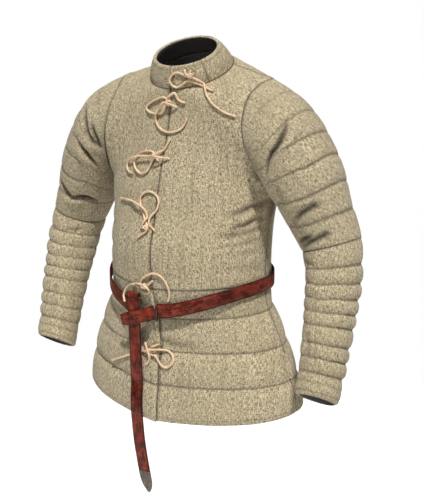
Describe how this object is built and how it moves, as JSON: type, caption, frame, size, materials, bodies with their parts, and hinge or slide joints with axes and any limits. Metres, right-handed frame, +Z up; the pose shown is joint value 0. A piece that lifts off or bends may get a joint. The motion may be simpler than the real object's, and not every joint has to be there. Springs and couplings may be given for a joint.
{
  "type": "gambeson",
  "caption": "Quilted padded arming jacket with a standing collar, long sleeves and a side-vented skirt, closed with leather laces and a knotted leather belt.",
  "frame": {"origin": "the point between the shoulders where it is held, level with the foot of the collar at the sides of the neck", "axes": "+Z up along the wearer, -Y towards the front, +X towards the wearer's left hand"},
  "size_m": [0.7264, 0.3167, 0.8813],
  "materials": {
    "cloth": "matt coarse linen weave, quilted",
    "leather": "satin, worn edges",
    "lace": "pale undyed leather lace",
    "iron": "dark, lightly worn"
  },
  "bodies": {
    "root": {"belt_band": "leather", "belt_ring": "iron", "belt_round": "leather", "belt_tail": "leather", "belt_tip": "leather", "body_back": "cloth", "body_front_left": "cloth", "body_front_right": "cloth", "collar": "cloth", "skirt_back": "cloth", "skirt_front_left": "cloth", "skirt_front_right": "cloth", "sleeve_lower_left": "cloth", "sleeve_lower_right": "cloth", "sleeve_upper_left": "cloth", "sleeve_upper_right": "cloth", "tie_1_bow": "lace", "tie_1_end": "lace", "tie_2_bow": "lace", "tie_2_end": "lace", "tie_3_bow": "lace", "tie_3_end": "lace", "tie_4_bow": "lace", "tie_4_end": "lace", "tie_5_bow": "lace", "tie_5_end": "lace", "tie_6_bow": "lace", "tie_6_end": "lace"}
  },
  "joints": []
}
